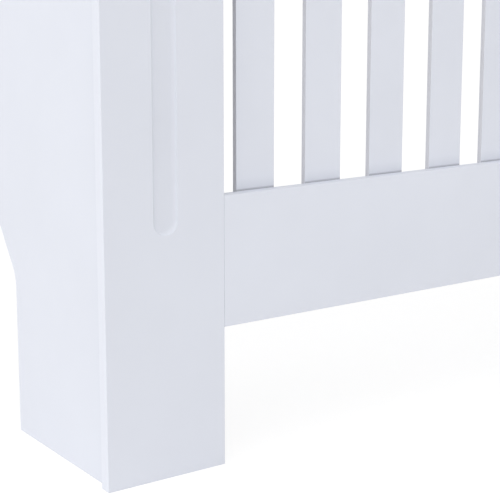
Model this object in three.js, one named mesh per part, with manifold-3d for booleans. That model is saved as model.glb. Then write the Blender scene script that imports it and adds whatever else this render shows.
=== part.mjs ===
// Radiator cover cabinet of white painted fibreboard, an open-backed case that stands over a
// radiator: a top panel, two side panels with skirting cut-outs, and a front frame of two fluted
// stiles and two rails with upright slats behind them. Battens, cleats, a rear stretcher, dowels,
// joint blocks, screws and two wall brackets hold it together.
//
// Millimetres. +X is the cabinet's right as seen from the front, +Y its back, +Z up. The origin
// is on the floor, under the middle of the top panel.
import * as THREE from "three";
import { mergeVertices } from "three/addons/utils/BufferGeometryUtils.js";
import Module from "manifold-3d";

const wasm = await Module();
wasm.setup();

// ---- Driving dimensions ----

const CABINET_WIDTH = 780; // over the top panel
const CABINET_DEPTH = 190; // over the top panel
const CABINET_HEIGHT = 815; // floor to the top panel's upper face

const TOP_THICKNESS = 15;
const TOP_FRONT_OVERHANG = 4; // past the front frame
const TOP_END_OVERHANG = 5;
const TOP_EDGE_ROUND = 6; // radius along the upper front and end edges
const TOP_EDGE_STEPS = 5;

const FRAME_THICKNESS = 10;
const STILE_WIDTH = 100;
const RAIL_HEIGHT = 99;
const FLOOR_GAP = 107; // floor to the bottom rail

const FLUTE_WIDTH = 20;
const FLUTE_DEPTH = 2.4;
const FLUTE_COVE = 4; // radius of the flute's hollow sides, which run into its flat floor
const FLUTE_PAST_RAIL_EDGE = 24; // how far each round end lies past the edge of the slatted opening
const FLUTE_END_STEPS = 12;
const FLUTE_COVE_STEPS = 4;

const SIDE_THICKNESS = 12;
const SIDE_INSET = 5; // the side's outer face is this far in from the stile's edge
const SKIRTING_DEPTH = 30; // cut-out at the rear foot of each side
const SKIRTING_TOP = 169; // where the cut-out's slope reaches the rear edge
const SKIRTING_SLOPE = 54; // degrees from level
const SKIRTING_CURVE = 28; // radius between the upright cut and the slope
const SKIRTING_CURVE_STEPS = 8;

const SLAT_WIDTH = 34.5;
const SLAT_THICKNESS = 5;
const FIRST_SLAT_GAP = 17.7; // between a stile and the slat next to it
const MIDDLE_SLAT_PITCH = 58.95; // from the middle slat to its neighbours
const USUAL_SLAT_PITCH = 64; // the run from stile to middle is spaced as near to this as it fits
const SLAT_LAP = 45; // length of slat hidden behind each rail

const BATTEN_SIZE = 18; // square section of the corner battens and top cleats
const BATTEN_LIFT = 20; // lower end of the corner battens above the floor

const STRETCHER_HEIGHT = 60;
const STRETCHER_THICKNESS = 12;

const GLUE_LINE = 0.1; // gap between two faces that are glued or screwed together
const BORE_CLEARANCE = 0.2; // round each dowel and screw

const DOWEL_RADIUS = 3;
const DOWEL_LENGTH = 30;
const DOWEL_CHAMFER = 1;
const DOWEL_FROM_RAIL_EDGE = 25;

const SCREW_RADIUS = 1.75;
const SCREW_TIP = 3; // length of the pointed end
const SCREW_HEAD_RADIUS = 3.75;
const SCREW_HEAD_HEIGHT = 2.4;
const SCREW_DOME_STEPS = 3;
const ROUND_SIDES = 12; // of each dowel, screw and bore
const SCREW_BITE = 9; // how deep a screw goes into the board that it holds to
const CUT_SPARE = 1; // how far a bore runs past its screw or dowel, and a cutter past a face

const FRONT_CLEAT_SCREW_INSET = 100; // from each end of the front cleat
const SIDE_CLEAT_SCREW_INSET = 25; // from each end of a side cleat
const CORNER_SCREW_INSET = 60; // from each end of a corner batten

const BLOCK_HEIGHT = 30;
const BLOCK_SIZE = 18;
const BLOCK_DROP = 10; // gap between a side cleat and the joint block below it
const BLOCK_SCREW_INSET = 8; // from the block's upper and lower ends

const BRACKET_LEG = 40;
const BRACKET_WIDTH = 20;
const BRACKET_THICKNESS = 2;
const BRACKET_DROP = 25; // below the rear stretcher
const BRACKET_SCREW_PITCH = 16;
const BRACKET_SCREW_FROM_TIP = 8;
const BRACKET_SLOT_FROM_CORNER = 24;
const BRACKET_SLOT_WIDTH = 5.5;
const BRACKET_SLOT_LENGTH = 12;
const BRACKET_SLOT_STEPS = 12; // in each of the slot's round ends

// ---- Planes and edges worked out from them ----

const frameHalfWidth = CABINET_WIDTH / 2 - TOP_END_OVERHANG;
const openingHalfWidth = frameHalfWidth - STILE_WIDTH;
const frontY = -CABINET_DEPTH / 2 + TOP_FRONT_OVERHANG;
const frameBackY = frontY + FRAME_THICKNESS;
const behindFrameY = frameBackY + GLUE_LINE;
const rearY = CABINET_DEPTH / 2;

const topUndersideZ = CABINET_HEIGHT - TOP_THICKNESS;
const bodyTopZ = topUndersideZ - GLUE_LINE;
const bottomRailTopZ = FLOOR_GAP + RAIL_HEIGHT;
const topRailUndersideZ = bodyTopZ - RAIL_HEIGHT;

const sideOuterX = frameHalfWidth - SIDE_INSET;
const sideInnerX = sideOuterX - SIDE_THICKNESS;
const battenOuterX = sideInnerX - GLUE_LINE;
const battenInnerX = battenOuterX - BATTEN_SIZE;
const battenBackY = behindFrameY + BATTEN_SIZE;

const frontCleatHalfLength = battenInnerX - GLUE_LINE;
const cleatUndersideZ = bodyTopZ - BATTEN_SIZE;
const stretcherFrontY = rearY - STRETCHER_THICKNESS;
const stretcherUndersideZ = bodyTopZ - STRETCHER_HEIGHT;
const sideCleatFrontY = battenBackY + GLUE_LINE;
const sideCleatBackY = stretcherFrontY - GLUE_LINE;

const blockTopZ = cleatUndersideZ - BLOCK_DROP;
const blockUndersideZ = blockTopZ - BLOCK_HEIGHT;
const blockInnerX = battenOuterX - BLOCK_SIZE;
const blockFrontY = sideCleatBackY - BLOCK_SIZE;
const bracketTopZ = stretcherUndersideZ - BRACKET_DROP;
const bracketMiddleZ = bracketTopZ - BRACKET_WIDTH / 2;

const SIDES = [
  { name: "left", sign: -1 },
  { name: "right", sign: 1 },
];

// ---- Materials ----

const paint = new THREE.MeshStandardMaterial({ color: 0xdfe2eb, roughness: 0.55, metalness: 0 });
const bareWood = new THREE.MeshStandardMaterial({ color: 0xcfae7f, roughness: 0.75, metalness: 0 });
const plastic = new THREE.MeshStandardMaterial({ color: 0xe6e6e2, roughness: 0.5, metalness: 0 });
const zincSteel = new THREE.MeshStandardMaterial({ color: 0xb9bdc2, roughness: 0.35, metalness: 1 });

// ---- Solids ----

const SAME_POINT = 1e-3; // corners closer than this are one

// A closed geometry as a solid that can be cut.
function solidOf(geometry) {
  const bare = new THREE.BufferGeometry();
  bare.setAttribute("position", geometry.getAttribute("position"));
  bare.setIndex(geometry.getIndex());
  const merged = mergeVertices(bare, SAME_POINT);
  return new wasm.Manifold(
    new wasm.Mesh({
      numProp: 3,
      vertProperties: merged.getAttribute("position").array,
      triVerts: new Uint32Array(merged.getIndex().array),
    }),
  );
}

// A solid's surface as a geometry with flat faces.
function geometryOf(solid) {
  const { vertProperties, triVerts } = solid.getMesh();
  const geometry = new THREE.BufferGeometry();
  geometry.setAttribute("position", new THREE.BufferAttribute(new Float32Array(vertProperties), 3));
  geometry.setIndex(new THREE.BufferAttribute(new Uint32Array(triVerts), 1));
  const flat = geometry.toNonIndexed();
  flat.computeVertexNormals();
  return flat;
}

// The geometry less each cutter, all of them in one frame.
function cut(geometry, cutters) {
  if (!cutters.length) return geometry;
  const whole = solidOf(geometry);
  return geometryOf(cutters.reduce((left, cutter) => left.subtract(solidOf(cutter)), whole));
}

// A mesh named for its piece, at the piece's own corner. The cutters are in the cabinet's frame.
function piece(name, material, geometry, corner, cutters = []) {
  const local = cutters.map((cutter) => cutter.clone().translate(-corner.x, -corner.y, -corner.z));
  const mesh = new THREE.Mesh(cut(geometry, local), material);
  mesh.name = name;
  mesh.position.copy(corner);
  return mesh;
}

// A board between two opposite corners, in either order along each axis.
function board(name, material, cornerA, cornerB, cutters = []) {
  const low = new THREE.Vector3(...cornerA).min(new THREE.Vector3(...cornerB));
  const size = new THREE.Vector3(...cornerA).max(new THREE.Vector3(...cornerB)).sub(low);
  const geometry = new THREE.BoxGeometry(size.x, size.y, size.z);
  geometry.translate(size.x / 2, size.y / 2, size.z / 2);
  return piece(name, material, geometry, low, cutters);
}

// A closed shell through rings of equal point counts, given from the lower ring up. Each ring runs
// anticlockwise as seen from above, and the first and last rings are filled in.
function stackedRings(rings) {
  const count = rings[0].length;
  const positions = rings.flat().flatMap((point) => [point.x, point.y, point.z]);
  const index = [];
  for (let ring = 0; ring + 1 < rings.length; ring++) {
    for (let i = 0; i < count; i++) {
      const a = ring * count + i;
      const b = ring * count + ((i + 1) % count);
      index.push(a, b, b + count, a, b + count, a + count);
    }
  }
  const last = (rings.length - 1) * count;
  for (let i = 1; i + 1 < count; i++) {
    index.push(0, i + 1, i);
    index.push(last, last + i, last + i + 1);
  }
  const geometry = new THREE.BufferGeometry();
  geometry.setAttribute("position", new THREE.Float32BufferAttribute(positions, 3));
  geometry.setIndex(index);
  geometry.computeVertexNormals();
  return geometry;
}

// ---- Dowels and screws ----

const UP = new THREE.Vector3(0, 1, 0); // a lathe turns about its own Y axis

// A fastener: where it starts, which way it points, how long it is, and its bore's radius.
function fastener(name, start, direction, length, radius) {
  const along = new THREE.Vector3(...direction);
  return { name, start: new THREE.Vector3(...start), along, length, radius };
}

function turned(name, material, profile, { start, along }) {
  const mesh = new THREE.Mesh(new THREE.LatheGeometry(profile, ROUND_SIDES), material);
  mesh.name = name;
  mesh.position.copy(start);
  mesh.quaternion.setFromUnitVectors(UP, along);
  return mesh;
}

// The hole that a fastener needs, from just outside its start to a little past its end.
function boreFor({ start, along, length, radius }) {
  const depth = length + 2 * CUT_SPARE;
  const boreRadius = radius + BORE_CLEARANCE;
  const geometry = new THREE.CylinderGeometry(boreRadius, boreRadius, depth, ROUND_SIDES);
  geometry.translate(0, depth / 2 - CUT_SPARE, 0);
  geometry.applyQuaternion(new THREE.Quaternion().setFromUnitVectors(UP, along));
  return geometry.translate(start.x, start.y, start.z);
}

// Round dowel with a chamfer at each end, from its start along its length.
function dowelMesh(made) {
  const { length, radius } = made;
  const profile = [
    new THREE.Vector2(0, 0),
    new THREE.Vector2(radius - DOWEL_CHAMFER, 0),
    new THREE.Vector2(radius, DOWEL_CHAMFER),
    new THREE.Vector2(radius, length - DOWEL_CHAMFER),
    new THREE.Vector2(radius - DOWEL_CHAMFER, length),
    new THREE.Vector2(0, length),
  ];
  return turned(made.name, bareWood, profile, made);
}

// Pan-head screw: its start is under the head, which stands back from it, and its point is ahead.
function screwMesh(made) {
  const { length, radius } = made;
  const dome = Array.from({ length: SCREW_DOME_STEPS }, (_, step) => {
    const angle = ((Math.PI / 2) * (step + 1)) / SCREW_DOME_STEPS;
    const height = SCREW_HEAD_HEIGHT * Math.cos(angle);
    return new THREE.Vector2(SCREW_HEAD_RADIUS * Math.sin(angle), -GLUE_LINE - height);
  });
  const profile = [
    new THREE.Vector2(0, -GLUE_LINE - SCREW_HEAD_HEIGHT),
    ...dome,
    new THREE.Vector2(radius, -GLUE_LINE),
    new THREE.Vector2(radius, length - SCREW_TIP),
    new THREE.Vector2(0, length),
  ];
  return turned(made.name, zincSteel, profile, made);
}

// Two dowels in each joint of a rail with a stile, half their length in each board.
const dowels = SIDES.flatMap(({ name, sign }) =>
  [
    ["bottom", FLOOR_GAP],
    ["top", topRailUndersideZ],
  ].flatMap(([rail, undersideZ]) =>
    [
      ["lower", undersideZ + DOWEL_FROM_RAIL_EDGE],
      ["upper", undersideZ + RAIL_HEIGHT - DOWEL_FROM_RAIL_EDGE],
    ].map(([place, z]) =>
      fastener(
        `${name}_${rail}_rail_dowel_${place}`,
        [sign * (openingHalfWidth - DOWEL_LENGTH / 2), frontY + FRAME_THICKNESS / 2, z],
        [sign, 0, 0],
        DOWEL_LENGTH,
        DOWEL_RADIUS,
      ),
    ),
  ),
);

// A screw whose head lies on a piece of some thickness, through which it bites into a board.
function screw(name, start, direction, thickness) {
  return fastener(name, start, direction, thickness + SCREW_BITE, SCREW_RADIUS);
}

function topScrew(name, x, y) {
  return screw(name, [x, y, cleatUndersideZ], [0, 0, 1], BATTEN_SIZE);
}

// Screws that come up through the front cleat and the side cleats into the top panel.
const frontCleatScrews = ["left", "middle", "right"].map((place, i) =>
  topScrew(
    `front_cleat_screw_${place}`,
    (i - 1) * (frontCleatHalfLength - FRONT_CLEAT_SCREW_INSET),
    behindFrameY + BATTEN_SIZE / 2,
  ),
);
const sideCleatScrews = SIDES.map(({ name, sign }) =>
  [
    ["front", sideCleatFrontY + SIDE_CLEAT_SCREW_INSET],
    ["rear", sideCleatBackY - SIDE_CLEAT_SCREW_INSET],
  ].map(([place, y]) =>
    topScrew(`${name}_cleat_screw_${place}`, sign * (battenOuterX - BATTEN_SIZE / 2), y),
  ),
);

// Screws that go outwards through each corner batten into the side panel beside it.
const cornerScrews = SIDES.map(({ name, sign }) =>
  [
    ["lower", BATTEN_LIFT + CORNER_SCREW_INSET],
    ["middle", (BATTEN_LIFT + bodyTopZ) / 2],
    ["upper", bodyTopZ - CORNER_SCREW_INSET],
  ].map(([place, z]) =>
    screw(
      `${name}_batten_screw_${place}`,
      [sign * battenInnerX, behindFrameY + BATTEN_SIZE / 2, z],
      [sign, 0, 0],
      BATTEN_SIZE,
    ),
  ),
);

// Each joint block has one screw into the side panel and, above it, one into the rear stretcher.
const blockScrews = SIDES.map(({ name, sign }) => [
  screw(
    `${name}_block_screw_side`,
    [sign * blockInnerX, sideCleatBackY - BLOCK_SIZE / 2, blockUndersideZ + BLOCK_SCREW_INSET],
    [sign, 0, 0],
    BLOCK_SIZE,
  ),
  screw(
    `${name}_block_screw_rear`,
    [sign * (battenOuterX - BLOCK_SIZE / 2), blockFrontY, blockTopZ - BLOCK_SCREW_INSET],
    [0, 1, 0],
    BLOCK_SIZE,
  ),
]);

// Two short screws hold each wall bracket to the inner face of its side panel.
const bracketScrews = SIDES.map(({ name, sign }) =>
  [
    ["front", rearY - BRACKET_LEG + BRACKET_SCREW_FROM_TIP],
    ["rear", rearY - BRACKET_LEG + BRACKET_SCREW_FROM_TIP + BRACKET_SCREW_PITCH],
  ].map(([place, y]) =>
    screw(
      `${name}_bracket_screw_${place}`,
      [sign * (battenOuterX - BRACKET_THICKNESS), y, bracketMiddleZ],
      [sign, 0, 0],
      BRACKET_THICKNESS,
    ),
  ),
);

// ---- Top panel ----

// The board's upper front and end edges are rounded. Its rear edge stays square, for the wall.
function topPanel() {
  const halfWidth = CABINET_WIDTH / 2;
  const ring = (inset, z) => [
    new THREE.Vector3(-halfWidth + inset, inset, z),
    new THREE.Vector3(halfWidth - inset, inset, z),
    new THREE.Vector3(halfWidth - inset, CABINET_DEPTH, z),
    new THREE.Vector3(-halfWidth + inset, CABINET_DEPTH, z),
  ];
  const rings = [ring(0, 0)];
  for (let step = 0; step <= TOP_EDGE_STEPS; step++) {
    const angle = ((Math.PI / 2) * step) / TOP_EDGE_STEPS;
    const inset = TOP_EDGE_ROUND * (1 - Math.cos(angle));
    rings.push(ring(inset, TOP_THICKNESS - TOP_EDGE_ROUND * (1 - Math.sin(angle))));
  }
  const screws = [...frontCleatScrews, ...sideCleatScrews.flat()];
  const corner = new THREE.Vector3(0, -CABINET_DEPTH / 2, topUndersideZ);
  return piece("top_panel", paint, stackedRings(rings), corner, screws.map(boreFor));
}

// ---- Front frame ----

// The flute as a cutter: round-ended rings about one upright centre line, wide at the stile's face
// and drawn in by the cove to the flat floor. A cove deeper than the flute meets the face at a
// slope. The cutter is made lying down, its mouth upwards, then turned to face the front.
function fluteCutter(x) {
  const lowZ = bottomRailTopZ - FLUTE_PAST_RAIL_EDGE + FLUTE_WIDTH / 2;
  const highZ = topRailUndersideZ + FLUTE_PAST_RAIL_EDGE - FLUTE_WIDTH / 2;
  const ring = (radius, depth) => {
    const points = [];
    for (const [endZ, startAngle] of [
      [highZ, 0],
      [lowZ, Math.PI],
    ]) {
      for (let step = 0; step <= FLUTE_END_STEPS; step++) {
        const angle = startAngle + (Math.PI * step) / FLUTE_END_STEPS;
        const across = radius * Math.cos(angle);
        points.push(new THREE.Vector3(across, endZ + radius * Math.sin(angle), -depth));
      }
    }
    return points;
  };
  const half = FLUTE_WIDTH / 2;
  const steepest = Math.acos(Math.max(0, 1 - FLUTE_DEPTH / FLUTE_COVE));
  const rings = [];
  for (let step = 0; step <= FLUTE_COVE_STEPS; step++) {
    const angle = (steepest * step) / FLUTE_COVE_STEPS;
    const inset = FLUTE_COVE * (Math.sin(steepest) - Math.sin(angle));
    rings.push(ring(half - inset, FLUTE_DEPTH - FLUTE_COVE * (1 - Math.cos(angle))));
  }
  rings.push(ring(half, -CUT_SPARE));
  const geometry = stackedRings(rings);
  geometry.rotateX(Math.PI / 2);
  return geometry.translate(x, frontY, 0);
}

function stile({ name, sign }) {
  const middleX = sign * (frameHalfWidth - STILE_WIDTH / 2);
  const bores = dowels.filter((dowel) => dowel.along.x === sign).map(boreFor);
  return board(
    `${name}_stile`,
    paint,
    [sign * frameHalfWidth, frontY, 0],
    [sign * openingHalfWidth, frameBackY, bodyTopZ],
    [fluteCutter(middleX), ...bores],
  );
}

function rail(name, undersideZ) {
  const halfLength = openingHalfWidth - GLUE_LINE;
  return board(
    `${name}_rail`,
    paint,
    [-halfLength, frontY, undersideZ],
    [halfLength, frameBackY, undersideZ + RAIL_HEIGHT],
    dowels.filter((dowel) => dowel.name.includes(`_${name}_rail_`)).map(boreFor),
  );
}

// The slats' middles from left to right: an even run in from each stile, and one in the middle,
// which stands a little closer to its neighbours.
function slatMiddles() {
  const first = openingHalfWidth - FIRST_SLAT_GAP - SLAT_WIDTH / 2;
  const run = first - MIDDLE_SLAT_PITCH;
  const spaces = Math.max(1, Math.round(run / USUAL_SLAT_PITCH));
  const half = Array.from({ length: spaces + 1 }, (_, i) => first - (run * i) / spaces);
  return [...half.map((x) => -x), 0, ...half.reverse()];
}

function slat(middleX, i) {
  return board(
    `slat_${i + 1}`,
    paint,
    [middleX - SLAT_WIDTH / 2, behindFrameY, bottomRailTopZ - SLAT_LAP],
    [middleX + SLAT_WIDTH / 2, behindFrameY + SLAT_THICKNESS, topRailUndersideZ + SLAT_LAP],
  );
}

// ---- Sides ----

// Outline of a side, y back from its front edge and z up. The skirting cut-out at the rear foot
// rises upright, turns through a round and slopes out to the rear edge.
function sideOutline(depth) {
  const slope = THREE.MathUtils.degToRad(SKIRTING_SLOPE);
  const turn = Math.PI / 2 - slope;
  const uprightY = depth - SKIRTING_DEPTH;
  const bendZ = SKIRTING_TOP - SKIRTING_DEPTH * Math.tan(slope);
  const tangent = SKIRTING_CURVE * Math.tan(turn / 2);
  const outline = new THREE.Shape();
  outline.moveTo(0, 0);
  outline.lineTo(uprightY, 0);
  outline.lineTo(uprightY, bendZ - tangent);
  const centreY = uprightY + SKIRTING_CURVE;
  outline.absarc(centreY, bendZ - tangent, SKIRTING_CURVE, Math.PI, Math.PI - turn, true);
  outline.lineTo(depth, SKIRTING_TOP);
  outline.lineTo(depth, bodyTopZ);
  outline.lineTo(0, bodyTopZ);
  outline.closePath();
  return outline;
}

function sidePanel({ name, sign }, i) {
  const geometry = new THREE.ExtrudeGeometry(sideOutline(rearY - behindFrameY), {
    depth: SIDE_THICKNESS,
    bevelEnabled: false,
    curveSegments: SKIRTING_CURVE_STEPS,
  });
  const axes = [new THREE.Vector3(0, 1, 0), new THREE.Vector3(0, 0, 1), new THREE.Vector3(1, 0, 0)];
  geometry.applyMatrix4(new THREE.Matrix4().makeBasis(...axes));
  const corner = new THREE.Vector3(sign < 0 ? -sideOuterX : sideInnerX, behindFrameY, 0);
  const screws = [...cornerScrews[i], blockScrews[i][0], ...bracketScrews[i]];
  return piece(`${name}_side_panel`, paint, geometry, corner, screws.map(boreFor));
}

// ---- Battens, cleats and rear stretcher ----

function cornerBatten({ name, sign }, i) {
  return board(
    `${name}_corner_batten`,
    bareWood,
    [sign * battenOuterX, behindFrameY, BATTEN_LIFT],
    [sign * battenInnerX, battenBackY, bodyTopZ],
    cornerScrews[i].map(boreFor),
  );
}

function sideCleat({ name, sign }, i) {
  return board(
    `${name}_top_cleat`,
    bareWood,
    [sign * battenOuterX, sideCleatFrontY, cleatUndersideZ],
    [sign * battenInnerX, sideCleatBackY, bodyTopZ],
    sideCleatScrews[i].map(boreFor),
  );
}

function frontCleat() {
  return board(
    "front_top_cleat",
    bareWood,
    [-frontCleatHalfLength, behindFrameY, cleatUndersideZ],
    [frontCleatHalfLength, battenBackY, bodyTopZ],
    frontCleatScrews.map(boreFor),
  );
}

function rearStretcher() {
  return board(
    "rear_stretcher",
    paint,
    [-battenOuterX, stretcherFrontY, stretcherUndersideZ],
    [battenOuterX, rearY, bodyTopZ],
    blockScrews.map(([, rearScrew]) => boreFor(rearScrew)),
  );
}

// ---- Joint blocks and wall brackets ----

function jointBlock({ name, sign }, i) {
  return board(
    `${name}_joint_block`,
    plastic,
    [sign * battenOuterX, sideCleatBackY, blockUndersideZ],
    [sign * blockInnerX, blockFrontY, blockTopZ],
    blockScrews[i].map(boreFor),
  );
}

// Steel angle: one leg lies on the side panel, the other in the plane of the wall, with a slot for
// the wall screw.
function wallBracket({ name, sign }, i) {
  const outerX = sign * battenOuterX;
  const outline = new THREE.Shape();
  outline.moveTo(0, 0);
  outline.lineTo(BRACKET_LEG, 0);
  outline.lineTo(BRACKET_LEG, BRACKET_THICKNESS);
  outline.lineTo(BRACKET_THICKNESS, BRACKET_THICKNESS);
  outline.lineTo(BRACKET_THICKNESS, BRACKET_LEG);
  outline.lineTo(0, BRACKET_LEG);
  outline.closePath();
  const geometry = new THREE.ExtrudeGeometry(outline, { depth: BRACKET_WIDTH, bevelEnabled: false });
  geometry.rotateZ(sign < 0 ? -Math.PI / 2 : Math.PI);

  const slot = new THREE.Shape();
  const halfRun = (BRACKET_SLOT_LENGTH - BRACKET_SLOT_WIDTH) / 2;
  slot.absarc(0, halfRun, BRACKET_SLOT_WIDTH / 2, 0, Math.PI);
  slot.absarc(0, -halfRun, BRACKET_SLOT_WIDTH / 2, Math.PI, 2 * Math.PI);
  const slotCutter = new THREE.ExtrudeGeometry(slot, {
    depth: BRACKET_THICKNESS + 2 * CUT_SPARE,
    bevelEnabled: false,
    curveSegments: BRACKET_SLOT_STEPS,
  });
  slotCutter.rotateX(Math.PI / 2);
  const slotX = sign * (battenOuterX - BRACKET_SLOT_FROM_CORNER);
  slotCutter.translate(slotX, rearY + CUT_SPARE, bracketMiddleZ);

  const corner = new THREE.Vector3(outerX, rearY, bracketTopZ - BRACKET_WIDTH);
  const cutters = [slotCutter, ...bracketScrews[i].map(boreFor)];
  return piece(`${name}_wall_bracket`, zincSteel, geometry, corner, cutters);
}

// ---- Assembly ----

function group(...members) {
  const made = new THREE.Group();
  made.add(...members.flat());
  return made;
}

const frontFrame = group(
  SIDES.map(stile),
  rail("bottom", FLOOR_GAP),
  rail("top", topRailUndersideZ),
  slatMiddles().map(slat),
  dowels.map(dowelMesh),
  SIDES.map(cornerBatten),
  frontCleat(),
);
const sides = group(SIDES.map(sidePanel), SIDES.map(sideCleat), cornerScrews.flat().map(screwMesh));
const back = group(
  rearStretcher(),
  SIDES.map(jointBlock),
  blockScrews.flat().map(screwMesh),
  SIDES.map(wallBracket),
  bracketScrews.flat().map(screwMesh),
);
const top = group(topPanel(), [...frontCleatScrews, ...sideCleatScrews.flat()].map(screwMesh));

const cabinet = group(frontFrame, sides, back, top);

export default cabinet;
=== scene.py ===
"""Radiator cover cabinet of white painted fibreboard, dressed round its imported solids.

Metres. +X is the cabinet's right as seen from the front, +Y its back, +Z up from the floor.
"""

import math

import bmesh
import bpy
import numpy as np
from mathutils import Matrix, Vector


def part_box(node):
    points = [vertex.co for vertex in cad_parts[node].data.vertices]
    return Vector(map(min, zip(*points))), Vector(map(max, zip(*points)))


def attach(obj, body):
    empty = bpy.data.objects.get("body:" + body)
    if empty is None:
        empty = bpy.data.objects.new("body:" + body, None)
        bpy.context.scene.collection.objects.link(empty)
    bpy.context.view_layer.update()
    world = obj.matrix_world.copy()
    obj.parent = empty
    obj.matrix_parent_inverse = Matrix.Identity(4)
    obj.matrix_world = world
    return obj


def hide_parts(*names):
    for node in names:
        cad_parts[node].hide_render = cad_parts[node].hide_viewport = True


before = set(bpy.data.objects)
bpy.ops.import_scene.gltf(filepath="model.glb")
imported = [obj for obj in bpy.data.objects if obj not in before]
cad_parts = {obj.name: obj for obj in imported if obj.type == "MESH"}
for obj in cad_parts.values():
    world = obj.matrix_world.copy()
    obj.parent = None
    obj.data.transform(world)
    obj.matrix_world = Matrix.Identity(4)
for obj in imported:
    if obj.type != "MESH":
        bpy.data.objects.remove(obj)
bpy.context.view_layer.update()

MM = 0.001
QUARTER = math.pi / 2
FULL_TURN = 2 * math.pi
SIDES = {"left": -1, "right": 1}

# ---- Viewpoint of the photograph ----

CAMERA_PLACE = (-0.8193, -0.8941, 0.3778)
CAMERA_TURN = math.radians(-34.752)  # from straight at the front, towards the cabinet's right
CAMERA_TILT = math.radians(90 - 10.502)  # up from straight down, so it looks a little downwards
CAMERA_LENS = 96.87
CAMERA_SENSOR = 36
CAMERA_SHIFT_Y = -0.09

# ---- Sizes of the finish ----

BOARD_EASE = 0.45 * MM  # sanded round of the boards' edges, under the paint
STILE_EASE = 0.25 * MM
RAIL_END_EASE = 0.1 * MM  # where a rail butts against a stile
SLAT_EASE = 0.35 * MM
SLAT_STAND_OFF = 0.3 * MM  # paint and glue between a slat's front and the rails' backs
BATTEN_EASE = 0.8 * MM
EASE_STEPS = 4
CORNER_STEPS = 5
HOLD = 0.25 * MM  # flat rim inside an eased edge, which keeps the open face's shading flat
SIDE_ON = 0.7  # a face looks along an axis where its normal has more than this along it

TOP_ROUND = 6 * MM  # along the top panel's upper front and end edges
TOP_ROUND_STEPS = 14
TOP_CORNER = 1.2 * MM  # radius of its corners, seen from above

FLUTE_WIDTH = 20 * MM
FLUTE_DEPTH = 2.4 * MM
FLUTE_COVE = 4 * MM  # radius of the flute's hollow sides
FLUTE_LIP = 0.2 * MM  # radius of the round between the stile's face and the flute
FLUTE_PAST_RAIL = 24 * MM  # beyond the opening's edge, beside the rail
COVE_STEPS = 10
STILE_CORNER_STEPS = 16  # of the flute's ends, and of the stile's corners, so that rings match
ROUND_END_FLAT = 0.1 * MM  # half the short straight between the two quarter rounds of an end

SKIRTING_DEPTH = 30 * MM
SKIRTING_TOP = 169 * MM
SKIRTING_SLOPE = math.radians(54)  # from level, up to the rear edge
SKIRTING_CURVE = 28 * MM  # radius where the cut-out's upright part turns into the slope
SKIRTING_STEPS = 20

DOWEL_RADIUS = 3 * MM
DOWEL_CHAMFER = 1 * MM
DOWEL_CHAMFER_RINGS = (0, 0.35, 0.7, 1)  # as shares of the chamfer, from the end inwards
DOWEL_RIBS = 16
DOWEL_RIB_DEPTH = 0.22 * MM
DOWEL_RIB_POINTS = 6  # round each rib

SCREW_POINTS = 32  # round each ring
SCREW_HEAD_RADIUS = 3.75 * MM
SCREW_HEAD_HEIGHT = 2.4 * MM
SCREW_HEAD_RIM = 0.7 * MM
SCREW_HEAD_POWER = 2.6  # of the dome, where 2 is half an ellipse and more is fuller
SCREW_HEAD_CHAMFER = 0.15 * MM  # under the rim
SCREW_SEAT = 0.1 * MM  # between the head's underside and the face that it draws down
SCREW_RADIUS = 1.75 * MM
SCREW_CORE = 1.2 * MM  # radius under the thread
SCREW_NECK = 1.5 * MM
SCREW_NECK_SHARE = 0.9  # of the neck that stays plain before the first ring of the thread
SCREW_TIP = 5 * MM
SCREW_TIP_SHARE = 0.06  # least share of the full radius that the taper leaves
SCREW_POINT_RADIUS = 0.03 * MM
THREAD_PITCH = 1.6 * MM
THREAD_RINGS = 5  # to a turn
THREAD_FLANK = 0.28  # half the ridge's foot, as a share of the pitch
RECESS_RINGS = (0.02, 0.62, 12)  # first and last, as shares of the head's radius, and their count
RIM_RINGS = (0.7, 1, 7)  # the same, outside the recess
RECESS_DEPTH = 1.4 * MM
RECESS_ARM = 2.1 * MM
RECESS_HALF_WIDTH = 0.55 * MM
RECESS_WALL = 0.2 * MM  # over which a slot's sides fall
RECESS_RAMP = 0.9 * MM  # over which its ends fall

BLOCK_EASE = 1.5 * MM
BLOCK_GROOVE = 0.35 * MM
GROOVE_HEIGHTS = (-2, -1, 0, 1, 2)  # above the block's middle, in depths of the groove
GROOVE_DEPTHS = (0, 0.1, 1, 0.1, 0)

BRACKET_THICKNESS = 2 * MM
BRACKET_INNER_BEND = 1.2 * MM  # radius
BRACKET_EASE = 0.25 * MM
BRACKET_CORNER_STEPS = 10
BRACKET_SLOT_FROM_CORNER = 24 * MM
BRACKET_SLOT_WIDTH = 5.5 * MM
BRACKET_SLOT_LENGTH = 12 * MM
SHARP_ANGLE = math.radians(35)  # faces that meet at more than this keep a sharp edge

STAPLE_CROWN = 6 * MM
STAPLE_WIRE = 0.45 * MM  # radius
STAPLE_WIRE_POINTS = 8
STAPLE_BEND = 0.9 * MM  # radius
STAPLE_BEND_POINTS = 5
STAPLE_LEG = 2.5 * MM  # the part of the leg that is modelled, inside the slat
STAPLE_INSET = 9 * MM  # from the slat's long edges


# ---- Mesh building ----

THROUGH = {"X": (1, 2, 0), "Y": (0, 2, 1), "Z": (0, 1, 2)}  # axes that take u, v and height


def laid(rings, through):
    """Points given as (u, v, height), with the height laid along the named axis."""
    placed = np.empty_like(rings)
    placed[..., list(THROUGH[through])] = rings
    return placed


def shell(rings):
    """Closed skin over rings of equal point counts: points and faces, the end rings filled in.

    Each face between two rings joins a point and the next one round to the same two of the ring
    above.
    """
    index = np.arange(rings.shape[0] * rings.shape[1]).reshape(rings.shape[:2])
    lower, upper = index[:-1], index[1:]
    corners = [lower, np.roll(lower, -1, 1), np.roll(upper, -1, 1), upper]
    faces = np.stack(corners, -1).reshape(-1, 4).tolist()
    return rings.reshape(-1, 3), [*faces, index[0].tolist(), index[-1].tolist()]


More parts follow.
